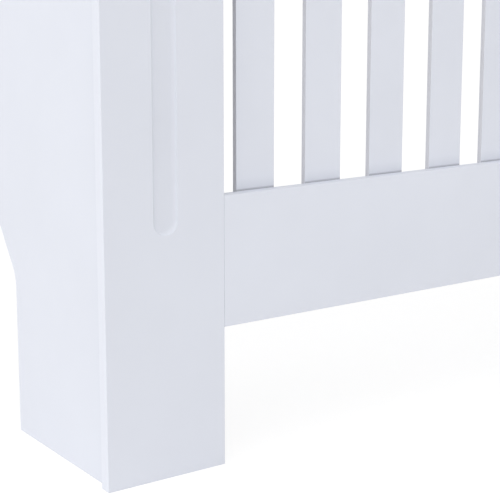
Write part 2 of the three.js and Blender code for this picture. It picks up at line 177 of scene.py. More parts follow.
def mesh_of(name, points, faces):
    """Mesh from an array of points and the faces' corners."""
    mesh = bpy.data.meshes.new(name)
    mesh.from_pydata(points.tolist(), [], faces)
    return mesh


def put(name, data):
    """New object for a mesh, lamp or camera, linked into the scene at the origin."""
    made = bpy.data.objects.new(name, data)
    bpy.context.scene.collection.objects.link(made)
    return made


def outward(mesh):
    """Turns the mesh's faces outwards, each separate skin by the sign of its own volume."""
    work = bmesh.new()
    work.from_mesh(mesh)
    bmesh.ops.recalc_face_normals(work, faces=work.faces)
    work.to_mesh(mesh)
    work.free()


def make_piece(name, skins, material, slot, *nodes):
    """One object from closed skins, at the origin, which rides on the case and stands for nodes."""
    starts = np.cumsum([0] + [len(points) for points, _ in skins[:-1]])
    faces = [
        [corner + start for corner in face]
        for (_, skin_faces), start in zip(skins, starts)
        for face in skin_faces
    ]
    mesh = mesh_of(name, np.concatenate([points for points, _ in skins]), faces)
    outward(mesh)
    mesh.polygons.foreach_set("use_smooth", [True] * len(mesh.polygons))
    mesh.materials.append(material)
    made = put(name, mesh)
    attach(made, "root")
    if nodes:
        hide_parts(*nodes)
    return made


def recoat(piece, material, chosen):
    """Another finish on a piece's chosen faces: one truth value for each face."""
    slots = np.empty(len(piece.data.polygons), np.int32)
    piece.data.polygons.foreach_get("material_index", slots)
    slots[chosen] = len(piece.data.materials)
    piece.data.materials.append(material)
    piece.data.polygons.foreach_set("material_index", slots)


def face_values(piece, name):
    """The middles or the normals of a piece's faces, as rows of x, y and z."""
    values = np.empty(3 * len(piece.data.polygons), np.float32)
    piece.data.polygons.foreach_get(name, values)
    return values.reshape(-1, 3)


def box_of(node):
    """Lowest and highest corner of a CAD node as arrays."""
    low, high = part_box(node)
    return np.array(low), np.array(high)


# ---- Outlines and profiles ----


def rounded_outline(corners, radii, steps):
    """Outline with every corner rounded: its points, and its unit normals, which point outwards.

    The corners run anticlockwise. Where the outline turns by an angle, the round starts at its
    radius times the tangent of half that angle before the corner, and its normals turn evenly from
    one side's to the next side's. Each point is the round's centre plus the radius times the
    normal, with the radius taken as negative where the outline turns clockwise.
    """
    corners = np.array(corners, float)
    ahead = np.roll(corners, -1, 0) - corners
    heading = np.arctan2(ahead[:, 1], ahead[:, 0])
    came = np.roll(heading, 1)
    turn = (heading - came + math.pi) % FULL_TURN - math.pi
    signed = np.broadcast_to(radii, len(corners)) * np.sign(turn)
    normal_angle = came[:, None] - QUARTER + turn[:, None] * np.linspace(0, 1, steps + 1)
    normals = np.stack([np.cos(normal_angle), np.sin(normal_angle)], -1)
    way_in = np.stack([np.cos(came), np.sin(came)], -1)
    starts = corners - way_in * (signed * np.tan(turn / 2))[:, None]
    centres = starts - signed[:, None] * normals[:, 0]
    points = centres[:, None] + signed[:, None, None] * normals
    return points.reshape(-1, 2), normals.reshape(-1, 2)


def parted(rows):
    """Corners and radii from rows of both."""
    rows = np.array(rows)
    return rows[:, :2], rows[:, 2]


def rectangle(low, high):
    """Corners of a rectangle, anticlockwise."""
    return [(low[0], low[1]), (high[0], low[1]), (high[0], high[1]), (low[0], high[1])]


def round_past(ease):
    """Radius of an outline's corners that leaves room inside for the ease and its flat rim."""
    return ease + 2 * HOLD


def eased_edge(low, high, ease):
    """Inset and height round a board's edge, from its lower face to its upper face.

    Each quarter round has inset ease (1 - sin a) and height ease (1 - cos a) off its face, and a
    narrow rim of the face beyond it.
    """
    angle = np.linspace(0, QUARTER, EASE_STEPS + 1)
    inset = ease * (1 - np.sin(angle))
    rise = ease * (1 - np.cos(angle))
    insets = np.concatenate([[ease + HOLD], inset, inset[::-1], [ease + HOLD]])
    heights = np.concatenate([[low], low + rise, high - rise[::-1], [high]])
    return insets, heights


def carried(outline, normals, insets, heights):
    """Profile carried round an outline: each ring is the outline drawn in by the inset, at its
    height."""
    flat = outline[None] - normals[None] * insets[:, None, None]
    tall = np.broadcast_to(heights[:, None, None], (*flat.shape[:2], 1))
    return np.concatenate([flat, tall], -1)


def eased_board(box, through, ease, corner_radius=None):
    """Skin of a plain board over a box: its outline square to the named axis, carried along it,
    with the ease round both end faces."""
    low, high = (corner[list(THROUGH[through])] for corner in box)
    corner_radius = corner_radius or round_past(ease)
    outline = rounded_outline(rectangle(low, high), corner_radius, CORNER_STEPS)
    return shell(laid(carried(*outline, *eased_edge(low[2], high[2], ease)), through))


# ---- Node trees ----


def srgb(red, green, blue):
    """A screen colour, 0 to 255, as the linear colour that a shader takes, by the sRGB curve."""
    share = np.array([red, green, blue]) / 255
    linear = np.where(share <= 0.04045, share / 12.92, ((share + 0.055) / 1.055) ** 2.4)
    return (*linear.tolist(), 1)


def grey(value):
    """A linear grey as a shader takes it."""
    return (value, value, value, 1)


def empty_tree(owner):
    """The node tree of a material or world, with nothing in it."""
    owner.use_nodes = True
    owner.node_tree.nodes.clear()
    return owner.node_tree


def add_node(tree, kind, **sockets):
    """A node with its input sockets set; a socket's name has _ for each space."""
    node = tree.nodes.new(kind)
    for socket, value in sockets.items():
        node.inputs[socket.replace("_", " ")].default_value = value
    return node


class Finish:
    """A material's node tree, with its shader already joined to the output."""

    def __init__(self, name, **sockets):
        self.material = bpy.data.materials.new(name)
        self.tree = empty_tree(self.material)
        output = self.add("ShaderNodeOutputMaterial")
        self.shader = self.add("ShaderNodeBsdfPrincipled", **sockets)
        self.link(self.shader, "BSDF", output, "Surface")
        self.place = self.add("ShaderNodeTexCoord")

    def add(self, kind, **sockets):
        """A node in this tree with its input sockets set."""
        return add_node(self.tree, kind, **sockets)

    def link(self, source, output, target, socket):
        """Joins a node's output to another's input, each socket by its name or number."""
        self.tree.links.new(source.outputs[output], target.inputs[socket])

    def noise(self, scale, detail, roughness, source=None, output="Object"):
        """Noise in the piece's own metres: scale is the number of blotches to a metre."""
        node = self.add("ShaderNodeTexNoise", Scale=scale, Detail=detail, Roughness=roughness)
        self.link(source or self.place, output, node, "Vector")
        return node

    def ramp(self, source, output, stops):
        """Colours or greys along a ramp, as (position, colour)."""
        node = self.add("ShaderNodeValToRGB")
        elements = node.color_ramp.elements
        while len(elements) < len(stops):
            elements.new(0.5)
        for element, (position, colour) in zip(elements, stops):
            element.position = position
            element.color = colour
        self.link(source, output, node, "Fac")
        return node

    def two_tone(self, noise, positions, shade, base):
        """From one screen colour to another, between two values of a noise."""
        colours = [srgb(*shade), srgb(*base)]
        return self.ramp(noise, "Fac", list(zip(positions, colours)))

    def along(self, axis):
        """The node and output that give the place on the piece along one axis."""
        split = self.add("ShaderNodeSeparateXYZ")
        self.link(self.place, "Object", split, "Vector")
        return split, axis

    def share(self, source, output, start, end):
        """How far a value is on its way from start to end, from 0 to 1."""
        node = self.add("ShaderNodeMapRange", From_Min=start, From_Max=end)
        self.link(source, output, node, "Value")
        return node

    def worked_out(self, kind, operation, source, output, *values):
        """Math or VectorMath: the operation on the source and then the values."""
        node = self.add(f"ShaderNode{kind}")
        node.operation = operation
        self.link(source, output, node, 0)
        for socket, value in enumerate(values, 1):
            node.inputs[socket].default_value = value
        return node

    def set_colour(self, tint, shade=None):
        """The tint as the base colour, times the shade where there is one."""
        if shade is None:
            self.link(tint, "Color", self.shader, "Base Color")
            return
        blend = self.add("ShaderNodeMix")
        blend.data_type = "RGBA"
        blend.blend_type = "MULTIPLY"
        blend.inputs[0].default_value = 1
        self.link(tint, "Color", blend, 6)
        self.link(shade, "Color", blend, 7)
        self.link(blend, 2, self.shader, "Base Color")

    def set_roughness(self, noise, low, high):
        """Roughness spread between two values by a noise."""
        spread = self.add("ShaderNodeMapRange", To_Min=low, To_Max=high)
        self.link(noise, "Fac", spread, "Value")
        self.link(spread, "Result", self.shader, "Roughness")

    def set_relief(self, *layers):
        """Relief laid over relief, the lowest first: source, output and height in metres."""
        below = None
        for source, output, height in layers:
            node = self.add("ShaderNodeBump", Strength=1.0, Distance=height)
            self.link(source, output, node, "Height")
            if below:
                self.link(below, "Normal", node, "Normal")
            below = node
        self.link(below, "Normal", self.shader, "Normal")


# ---- Materials ----
# A noise is given as its blotches to a metre, its layers of detail and their roughness.

PAINT_CLOUDS = (9, 3, 0.6)
PAINT_CLOUD_EDGES = (0.35, 0.62)  # values of the noise between which one colour turns to another
PAINT_PEEL = (520, 2, 0.5)
PAINT_TOOTH = (2600, 2, 0.5)
PAINT_GLOSS = (60, 4, 0.65)
PAINT_ROUGHNESS = (0.4, 0.56)
FACE_TOOTH = 0.004 * MM  # relief of the sanded board under the paint
EDGE_TOOTH = 0.02 * MM
BOARD_PEEL = 0.012 * MM  # relief of the orange peel
SLAT_PEEL = 0.014 * MM
EDGE_PEEL = 0.03 * MM
COOL_WHITE = (229, 232, 241)
BOARD_CLOUD = (227, 230, 239)
SLAT_CLOUD = (226, 229, 238)

# Painted shade on a flute's floor, as a factor on the paint's colour
FLUTE_FLOOR_PAINTED_SHADE = 0.965
# Painted shade at a slat's foot and head, where it meets a rail: how far up the slat it reaches
CORNER_SHADE_REACH = 9 * MM
# Painted shade in the corner over a rail: the factor on the colour from the end of that reach to
# the rail's edge.
PAINTED_CORNER_SHADE = [(0, grey(1)), (0.82, grey(0.93)), (0.9, grey(0.72)), (1, grey(0.62))]

GRAIN_STRETCH = (1, 1, 0.06)  # noise runs so much slower along the grain
WOOD_BEND = (26, 2, 0.5)
WOOD_FIBRE = (900, 3, 0.6)
WOOD_STREAKS = [(0.3, grey(0.78)), (0.7, grey(1.0))]
WOOD_ROUGHNESS = (0.58, 0.78)
LATE_WOOD_START = 0.55  # as shares of a ring
LATE_WOOD_DARKEST = 0.9
RING_RELIEF = 0.02 * MM
FIBRE_RELIEF = 0.06 * MM

ZINC_PATCHES = (160, 4, 0.6)
ZINC_PATCH_EDGES = (0.35, 0.65)
ZINC_GRAIN = (2400, 3, 0.5)
ZINC_ROUGHNESS = (0.24, 0.42)
ZINC_RELIEF = 0.012 * MM

PLASTIC_CLOUDS = (120, 2, 0.5)
PLASTIC_CLOUD_EDGES = (0.3, 0.7)
PLASTIC_TEXTURE = (3500, 2, 0.5)
PLASTIC_ROUGHNESS = (0.42, 0.58)
PLASTIC_RELIEF = 0.02 * MM


def sprayed_paint(name, base, cloud, peel_height, tooth_height=FACE_TOOTH, painted_shade=None):
    """Satin paint sprayed on sanded fibreboard.

    Broad, faint clouds where the coat is thicker, orange peel about 2 mm across, the fine tooth of
    the sanded board under it, and a gloss that varies a little. An optional function makes a node
    of painted shade, which the paint's colour is multiplied by.
    """
    finish = Finish(name)
    clouds = finish.noise(*PAINT_CLOUDS)
    tint = finish.two_tone(clouds, PAINT_CLOUD_EDGES, cloud, base)
    finish.set_colour(tint, painted_shade(finish) if painted_shade else None)
    peel = finish.noise(*PAINT_PEEL)
    tooth = finish.noise(*PAINT_TOOTH)
    finish.set_roughness(finish.noise(*PAINT_GLOSS), *PAINT_ROUGHNESS)
    finish.set_relief((peel, "Fac", peel_height), (tooth, "Fac", tooth_height))
    return finish.material


def painted_shade_down_flute(finish):
    """Painted shade in a flute: the colour a little darker on its floor than on the lip, by the
    depth.
    """
    front = box_of("left_stile")[0][1]
    depth = finish.share(*finish.along("Y"), front + FLUTE_DEPTH / 2, front + FLUTE_DEPTH)
    return finish.ramp(depth, "Result", [(0, grey(1)), (1, grey(FLUTE_FLOOR_PAINTED_SHADE))])


def painted_shade_over_rails(finish):
    """Painted shade up a slat's front, by the distance from the nearer rail's edge.

    That distance is half the opening's height less the distance from its middle. The colour is
    painted darker as shade in the corner over the rail, and a little darker for a thumb's width
    beside it.
    """
    low, high = box_of("bottom_rail")[1][2], box_of("top_rail")[0][2]
    half = (high - low) / 2
    from_middle = finish.worked_out("Math", "SUBTRACT", *finish.along("Z"), (low + high) / 2)
    away = finish.worked_out("Math", "ABSOLUTE", from_middle, "Value")
    near = finish.share(away, "Value", half - CORNER_SHADE_REACH, half)
    return finish.ramp(near, "Result", PAINTED_CORNER_SHADE)


def grown_wood(name, turn, pith, ring, early, late, wander):
    """Bare wood with its grain along one axis.

    Growth rings lie round a pith outside the piece: the distance from the pith, bent by slow noise
    that is stretched along the grain, runs through one light and one dark band for each ring. Fine
    streaks of fibre lie over them.
    """
    finish = Finish(name)
    grain = finish.add("ShaderNodeMapping", Rotation=turn, Location=pith)
    finish.link(finish.place, "Object", grain, "Vector")
    stretched = finish.add("ShaderNodeMapping", Scale=GRAIN_STRETCH)
    finish.link(grain, "Vector", stretched, "Vector")
    bend = finish.noise(*WOOD_BEND, stretched, "Vector")
    across = finish.worked_out("VectorMath", "MULTIPLY", grain, "Vector", (1, 1, 0))
    radius = finish.worked_out("VectorMath", "LENGTH", across, "Vector")
    wavy = finish.worked_out("Math", "MULTIPLY_ADD", bend, "Fac", wander)
    finish.link(radius, "Value", wavy, 2)
    count = finish.worked_out("Math", "DIVIDE", wavy, "Value", ring)
    part = finish.worked_out("Math", "FRACT", count, "Value")
    positions = (0.0, LATE_WOOD_START, LATE_WOOD_DARKEST, 1.0)
    colours = [srgb(*colour) for colour in (early, early, late, early)]
    rings = finish.ramp(part, "Value", list(zip(positions, colours)))
    fibre = finish.noise(*WOOD_FIBRE, stretched, "Vector")
    finish.set_colour(rings, finish.ramp(fibre, "Fac", WOOD_STREAKS))
    finish.set_roughness(fibre, *WOOD_ROUGHNESS)
    finish.set_relief((fibre, "Fac", FIBRE_RELIEF), (part, "Value", RING_RELIEF))
    return finish.material


def zinc_plate(name, bright, dull):
    """Bright zinc on steel: soft patches of passivated colour, a fine grain and a varied gloss."""
    finish = Finish(name, Metallic=1.0)
    patches = finish.noise(*ZINC_PATCHES)
    finish.set_colour(finish.two_tone(patches, ZINC_PATCH_EDGES, dull, bright))
    finish.set_roughness(patches, *ZINC_ROUGHNESS)
    finish.set_relief((finish.noise(*ZINC_GRAIN), "Fac", ZINC_RELIEF))
    return finish.material


def moulded_plastic(name, base, cloud):
    """Off-white moulded plastic with a fine spark-eroded texture."""
    finish = Finish(name)
    clouds = finish.noise(*PLASTIC_CLOUDS)
    finish.set_colour(finish.two_tone(clouds, PLASTIC_CLOUD_EDGES, cloud, base))
    texture = finish.noise(*PLASTIC_TEXTURE)
    finish.set_roughness(texture, *PLASTIC_ROUGHNESS)
    finish.set_relief((texture, "Fac", PLASTIC_RELIEF))
    return finish.material


board_paint = sprayed_paint("board_paint", COOL_WHITE, BOARD_CLOUD, BOARD_PEEL)
# Flutes: the paint with painted shade on their floors
flute_shaded_paint = sprayed_paint(
    "flute_shaded_paint", COOL_WHITE, BOARD_CLOUD, SLAT_PEEL, painted_shade=painted_shade_down_flute
)
slat_paint = sprayed_paint("slat_paint", COOL_WHITE, SLAT_CLOUD, SLAT_PEEL)
# Slat fronts: the paint with painted shade in the corners over the rails
slat_front_shaded_paint = sprayed_paint(
    "slat_front_shaded_paint", COOL_WHITE, SLAT_CLOUD, SLAT_PEEL, painted_shade=painted_shade_over_rails
)
edge_paint = sprayed_paint("edge_paint", (226, 227, 233), (221, 222, 228), EDGE_PEEL, EDGE_TOOTH)
# Painted shade on the slats' long edges that face a stile
stile_shade_paint = sprayed_paint(
    "stile_shade_paint", (206, 207, 213), (203, 204, 210), EDGE_PEEL, EDGE_TOOTH
)
# Painted light: the stiles' outer ends a little lighter than the boards' white
stile_end_lit_paint = sprayed_paint("stile_end_lit_paint", (232, 235, 244), (231, 234, 243), BOARD_PEEL)

PINE = {"ring": 3.1 * MM, "early": (228, 206, 170), "late": (204, 168, 121), "wander": 9 * MM}
BEECH = {"ring": 2.2 * MM, "early": (214, 178, 136), "late": (196, 156, 114), "wander": 6 * MM}
PINE_GRAIN = {  # by the axis that it runs along: its name, its turn and its pith's place
    "Z": ("pine_upright", (0, 0, 0), (0.05, 0.11, 0)),
    "X": ("pine_across", (0, QUARTER, 0), (0.84, 0.12, 0)),
    "Y": ("pine_deep", (QUARTER, 0, 0), (0.04, 0.86, 0)),
}
pine = {axis: grown_wood(*grain, **PINE) for axis, grain in PINE_GRAIN.items()}
beech = grown_wood("beech", (0, QUARTER, 0), (0.3, 0.2, 0), **BEECH)
zinc = zinc_plate("zinc", (214, 217, 221), (190, 195, 203))
bracket_zinc = zinc_plate("bracket_zinc", (208, 211, 215), (196, 200, 207))
block_plastic = moulded_plastic("block_plastic", (236, 235, 230), (229, 228, 222))


# ---- Camera ----

camera = put("camera", bpy.data.cameras.new("camera"))
camera.location = CAMERA_PLACE
camera.rotation_euler = (CAMERA_TILT, 0, CAMERA_TURN)
camera.data.sensor_width = CAMERA_SENSOR
camera.data.lens = CAMERA_LENS
camera.data.shift_y = CAMERA_SHIFT_Y
bpy.context.scene.camera = camera


# ---- Front frame, sides and top ----


def fluted_stile(name):
    """Stile with one routed flute, as rings from its back face round the edge to the flute's floor.

    The outer rings are the stile's own outline. On the front face they pass to the flute's outline,
    whose rings go over a small lip and down the cove to the flat floor. Lip and cove meet at the
    slope whose cosine is 1 less the depth over both radii. At a slope a, the lip is its radius
    times 1 - cos a deep, and the cove its own radius times 1 - cos a above the floor. Heights grow
    towards the front until the end, where they are turned round.
    """
    low, high = box_of(name)
    front, back = low[1], high[1]
    outer = rounded_outline(
        rectangle(low[[0, 2]], high[[0, 2]]), round_past(STILE_EASE), STILE_CORNER_STEPS
    )
    body = carried(*outer, *eased_edge(-back, -front, STILE_EASE))

    middle = (low[0] + high[0]) / 2
    half = FLUTE_WIDTH / 2
    foot = box_of("bottom_rail")[1][2] - FLUTE_PAST_RAIL
    head = box_of("top_rail")[0][2] + FLUTE_PAST_RAIL
    mouth = rounded_outline(
        rectangle((middle - half, foot), (middle + half, head)),
        half - ROUND_END_FLAT,
        STILE_CORNER_STEPS,
    )
    steepest = math.acos(1 - FLUTE_DEPTH / (FLUTE_COVE + FLUTE_LIP))
    lip = np.linspace(0, steepest, EASE_STEPS + 1)
    cove = np.linspace(steepest, 0, COVE_STEPS + 1)[1:]
    lip_inset = FLUTE_LIP * (np.sin(lip) - math.sin(steepest))
    cove_inset = FLUTE_COVE * (math.sin(steepest) - np.sin(cove))
    insets = np.concatenate(
        [[lip_inset[0] - HOLD], lip_inset, cove_inset, [cove_inset[-1] + HOLD]]
    )
    lip_depth = FLUTE_LIP * (1 - np.cos(lip))
    cove_depth = FLUTE_DEPTH - FLUTE_COVE * (1 - np.cos(cove))
    depths = np.concatenate([[0], lip_depth, cove_depth, [FLUTE_DEPTH]])
    flute = carried(*mouth, insets, -front - depths)
    rings = np.concatenate([body, flute])
    rings[..., 2] *= -1
    return shell(laid(rings, "Y"))


def side_panel(name):
    """Side panel with its skirting cut-out, the outline carried through the board's thickness."""
    low, high = box_of(name)
    upright = high[1] - SKIRTING_DEPTH
    bend = SKIRTING_TOP - SKIRTING_DEPTH * math.tan(SKIRTING_SLOPE)
    plain = round_past(BOARD_EASE)
    corners = [
        (low[1], low[2], plain),
        (upright, low[2], plain),
        (upright, bend, SKIRTING_CURVE),
        (high[1], SKIRTING_TOP, plain),
        (high[1], high[2], plain),
        (low[1], high[2], plain),
    ]
    outline = rounded_outline(*parted(corners), SKIRTING_STEPS)
    return shell(laid(carried(*outline, *eased_edge(low[0], high[0], BOARD_EASE)), "X"))


def top_panel():
    """Top panel, its upper front and end edges rounded and its rear edge only eased.

    Each ring is a rectangle with small round corners. The front and ends are drawn in by the
    profile, and the rear edge by no more than the ease and its flat rim.
    """
    low, high = box_of("top_panel")
    ease = np.linspace(0, QUARTER, EASE_STEPS + 1)
    turn = np.linspace(0, QUARTER, TOP_ROUND_STEPS + 1)
    insets = np.concatenate(
        [
            [BOARD_EASE + HOLD],
            BOARD_EASE * (1 - np.sin(ease)),
            TOP_ROUND * (1 - np.cos(turn)),
            [TOP_ROUND + HOLD],
        ]
    )
    heights = np.concatenate(
        [
            [low[2]],
            low[2] + BOARD_EASE * (1 - np.cos(ease)),
            high[2] - TOP_ROUND * (1 - np.sin(turn)),
            [high[2]],
        ]
    )
    upper = slice(len(ease) + 1, None)
    rear = np.minimum(insets, BOARD_EASE + HOLD)
    rear[upper] = np.interp(heights[upper], [high[2] - BOARD_EASE, high[2]], [0, BOARD_EASE])
    rear[-1] += HOLD
    rings = []
    for inset, rear_inset, height in zip(insets, rear, heights):
        corners = rectangle(
            (low[0] + inset, low[1] + inset), (high[0] - inset, high[1] - rear_inset)
        )
        outline = rounded_outline(corners, TOP_CORNER, CORNER_STEPS)[0]
        rings.append(np.column_stack([outline, np.full(len(outline), height)]))
    return shell(np.array(rings))


def on_outer_end(stile, node):
    """Truth for each face of a stile that lies on its end away from the opening."""
    low, high = box_of(node)
    outer = max(-low[0], high[0])
    return np.abs(face_values(stile, "center")[:, 0]) > outer - STILE_EASE


def in_flute(stile, node):
    """Truth for each face of a stile that lies in its flute."""
    low, high = box_of(node)
    middles = face_values(stile, "center")
    depth = middles[:, 1] - low[1]
    across = np.abs(middles[:, 0] - (low[0] + high[0]) / 2)
    return (across < FLUTE_WIDTH / 2) & (depth > FLUTE_LIP) & (depth < FLUTE_DEPTH + HOLD)


def painted_board(node, skin):
    """A node's board in its coat of paint."""
    return make_piece(f"{node}_painted", [skin], board_paint, "painted_board", node)


for side in SIDES:
    node = f"{side}_stile"
    stile = painted_board(node, fluted_stile(node))
    # the flute's faces take the paint with painted shade
    recoat(stile, flute_shaded_paint, in_flute(stile, node))
    # the stiles' outer ends take the paint with painted light
    recoat(stile, stile_end_lit_paint, on_outer_end(stile, node))
    node = f"{side}_side_panel"
    panel = painted_board(node, side_panel(node))
    recoat(panel, edge_paint, np.abs(face_values(panel, "normal")[:, 0]) < 1 - SIDE_ON)

top = painted_board("top_panel", top_panel())
recoat(top, edge_paint, face_values(top, "normal")[:, 1] > SIDE_ON)

for node in ("bottom_rail", "top_rail"):
    painted_board(node, eased_board(box_of(node), "X", RAIL_END_EASE, BOARD_EASE))
painted_board("rear_stretcher", eased_board(box_of("rear_stretcher"), "Y", BOARD_EASE))

slats = sorted(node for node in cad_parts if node.startswith("slat_"))
outermost = box_of(slats[-1])[1][0]
for node in slats:
    low, high = box_of(node)
    board = eased_board((low + [0, SLAT_STAND_OFF, 0], high), "Y", SLAT_EASE)
    slat = make_piece(f"{node}_painted", [board], slat_paint, "painted_slat", node)
    normals = face_values(slat, "normal")
    # a slat's front takes the paint with painted shade over the rails
    recoat(slat, slat_front_shaded_paint, normals[:, 1] < -SIDE_ON)
    long_edges = np.abs(normals[:, 0]) > SIDE_ON
    recoat(slat, edge_paint, long_edges)
    # long edges beside a stile take painted shade, darker than the other edges
    beside_stile = np.abs(face_values(slat, "center")[:, 0]) > outermost - SLAT_EASE
    if beside_stile.any():
        recoat(slat, stile_shade_paint, long_edges & beside_stile)


# ---- Battens and cleats ----

GRAIN_OF = {
    "left_corner_batten": "Z",
    "right_corner_batten": "Z",
    "front_top_cleat": "X",
    "left_top_cleat": "Y",
    "right_top_cleat": "Y",
}
for node, grain in GRAIN_OF.items():
    batten = eased_board(box_of(node), grain, BATTEN_EASE)
    make_piece(f"{node}_planed", [batten], pine[grain], "bare_batten", node)


# ---- Dowels and screws ----


def pointing(direction):
    """Turning matrix that takes +Z to the direction, for the six directions along the axes."""
    along = np.array(direction, float)
    side = np.roll(along, 1)
    return np.column_stack([side, np.cross(along, side), along])


def angles_round(count):
    """Angles of so many points spaced evenly round a circle."""
    return np.linspace(0, FULL_TURN, count, endpoint=False)


def turned_rings(radius, height, angle):
    """Rings about the Z axis with their radius, height and angle given on a grid."""
    height = np.broadcast_to(height, radius.shape)
    return np.stack([radius * np.cos(angle), radius * np.sin(angle), height], -1)


def even_ring(radius, height, angle):
    """One ring of an even radius, at one height."""
    return turned_rings(np.full((1, angle.shape[1]), radius), np.array([[height]]), angle)


def ribbed_dowel(node):
    """Dowel with chamfered ends and pressed ribs.

    The radius is the full one less the ribs' depth times half of one minus the cosine of the angle
    times the rib count, drawn in at both ends by the chamfer.
    """
    low, high = box_of(node)
    length = high[0] - low[0]
    along = np.array(DOWEL_CHAMFER_RINGS) * DOWEL_CHAMFER
    height = np.concatenate([along, length - along[::-1]])[:, None]
    end = np.minimum(height, length - height)
    angle = angles_round(DOWEL_RIBS * DOWEL_RIB_POINTS)[None]
    ribs = DOWEL_RIB_DEPTH * (1 - np.cos(angle * DOWEL_RIBS)) / 2
    radius = DOWEL_RADIUS - ribs - np.maximum(DOWEL_CHAMFER - end, 0)
    rings = turned_rings(radius, height, angle) @ pointing((1, 0, 0)).T
    return shell(rings + [low[0], (low[1] + high[1]) / 2, (low[2] + high[2]) / 2])


def head_rings(angle):
    """Pan head from the middle of its cross recess out over the dome and down to its underside.

    With s the share of the head's radius, the dome stands over the rim by its full rise times the
    square root of 1 less s to a power. The recess is two crossed slots in it, whose depth falls off
    over their sides and their ends.
    """
    share = np.concatenate([np.linspace(*RECESS_RINGS), np.linspace(*RIM_RINGS)])[:, None]
    radius = SCREW_HEAD_RADIUS * np.broadcast_to(share, (len(share), angle.shape[1]))
    rise = (SCREW_HEAD_HEIGHT - SCREW_HEAD_RIM) * np.sqrt(1 - share**SCREW_HEAD_POWER)
    dome = SCREW_HEAD_RIM + rise
    across = np.abs(radius * np.cos(angle))
    up = np.abs(radius * np.sin(angle))
    wall = np.clip((RECESS_HALF_WIDTH - np.minimum(across, up)) / RECESS_WALL + 0.5, 0, 1)
    reach = np.clip((RECESS_ARM - np.maximum(across, up)) / RECESS_RAMP, 0, 1)
    top = turned_rings(radius, -SCREW_SEAT - dome + RECESS_DEPTH * wall * reach, angle)
    rim = even_ring(SCREW_HEAD_RADIUS, -SCREW_SEAT - SCREW_HEAD_CHAMFER, angle)
    underside = even_ring(SCREW_HEAD_RADIUS - SCREW_HEAD_CHAMFER, -SCREW_SEAT, angle)
    return np.concatenate([top, rim, underside])


def thread_rings(length, angle):
    """Threaded shank from under the head to the point.

    The core tapers to the point over the tip. The thread's ridge stands on it where the height over
    the pitch, less the share of a turn, is near a half past a whole number.
    """
    step = THREAD_PITCH / THREAD_RINGS
    height = np.arange(SCREW_NECK, length - step, step)[:, None]
    taper = np.clip((length - height) / SCREW_TIP, SCREW_TIP_SHARE, 1)
    phase = (height / THREAD_PITCH - angle / FULL_TURN) % 1
    ridge = np.clip(1 - np.abs(phase - 0.5) / THREAD_FLANK, 0, 1)
    full = SCREW_RADIUS - SCREW_CORE
    start = np.clip((height - SCREW_NECK) / THREAD_PITCH, 0, 1)
    thread = turned_rings((SCREW_CORE + full * ridge * start) * taper, height, angle)
    top = even_ring(SCREW_CORE, -SCREW_SEAT, angle)
    neck = even_ring(SCREW_CORE, SCREW_NECK * SCREW_NECK_SHARE, angle)
    point = even_ring(SCREW_POINT_RADIUS, length, angle)
    return np.concatenate([top, neck, thread, point])


def screw_direction(node, middle):
    """Up into the top for a cleat's, back for a block's rear one, and else out into the side."""
    if "cleat_screw" in node:
        return (0, 0, 1)
    if node.endswith("block_screw_rear"):
        return (0, 1, 0)
    return (float(np.sign(middle[0])), 0, 0)


def pan_head_screw(node):
    """Whole screw, placed by its node's box: head first along the direction that it points."""
    low, high = box_of(node)
    middle = (low + high) / 2
    direction = np.array(screw_direction(node, middle))
    total = np.abs((high - low) @ direction)
    start = middle - direction * (total / 2 - SCREW_HEAD_HEIGHT - SCREW_SEAT)
    length = total - SCREW_HEAD_HEIGHT - SCREW_SEAT
    angle = angles_round(SCREW_POINTS)[None]
    rings = np.concatenate([head_rings(angle), thread_rings(length, angle)])
    return shell(rings @ pointing(direction).T + start)


for node in sorted(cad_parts):
    if "_dowel_" in node:
        make_piece(f"{node}_ribbed", [ribbed_dowel(node)], beech, "dowel_wood", node)
    elif "_screw_" in node:
        make_piece(f"{node}_threaded", [pan_head_screw(node)], zinc, "screw_steel", node)


# ---- Joint blocks, brackets and staples ----


def joint_block(node):
    """Moulded block with round edges and a fine groove round its middle, where the mould parts."""
    low, high = box_of(node)
    outline = rounded_outline(rectangle(low[:2], high[:2]), round_past(BLOCK_EASE), CORNER_STEPS)
    insets, heights = eased_edge(low[2], high[2], BLOCK_EASE)
    half = len(insets) // 2
    grooved = BLOCK_GROOVE * np.array(GROOVE_DEPTHS)
    groove = (low[2] + high[2]) / 2 + BLOCK_GROOVE * np.array(GROOVE_HEIGHTS)
    insets = np.concatenate([insets[:half], grooved, insets[half:]])
    heights = np.concatenate([heights[:half], groove, heights[half:]])
    return shell(carried(*outline, insets, heights))


def bracket_slot(node, sign):
    """Upright slot through the bracket's wall leg, as a skin to cut with."""
    low, high = box_of(node)
    corner_x = high[0] if sign > 0 else low[0]
    middle = np.array([corner_x - sign * BRACKET_SLOT_FROM_CORNER, (low[2] + high[2]) / 2])
    half = np.array([BRACKET_SLOT_WIDTH, BRACKET_SLOT_LENGTH]) / 2
    outline = rounded_outline(
        rectangle(middle - half, middle + half), half[0] - ROUND_END_FLAT, BRACKET_CORNER_STEPS
    )
    ends = np.array([high[1] - 2 * BRACKET_THICKNESS, high[1] + BRACKET_THICKNESS])
    return shell(laid(carried(*outline, np.zeros(2), ends), "Y"))


def bent_bracket(node, sign):
    """Bracket bent from strip: an L with its bend rounded inside and out, carried up its width."""
    low, high = box_of(node)
    side_x, tip_x = (high[0], low[0]) if sign > 0 else (low[0], high[0])
    inner_x = side_x - sign * BRACKET_THICKNESS
    inner_y = high[1] - BRACKET_THICKNESS
    plain = round_past(BRACKET_EASE)
    corners = [
        (side_x, high[1], BRACKET_INNER_BEND + BRACKET_THICKNESS),
        (tip_x, high[1], plain),
        (tip_x, inner_y, plain),
        (inner_x, inner_y, BRACKET_INNER_BEND),
        (inner_x, low[1], plain),
        (side_x, low[1], plain),
    ]
    outline = rounded_outline(*parted(corners[::sign]), BRACKET_CORNER_STEPS)
    return shell(carried(*outline, *eased_edge(low[2], high[2], BRACKET_EASE)))


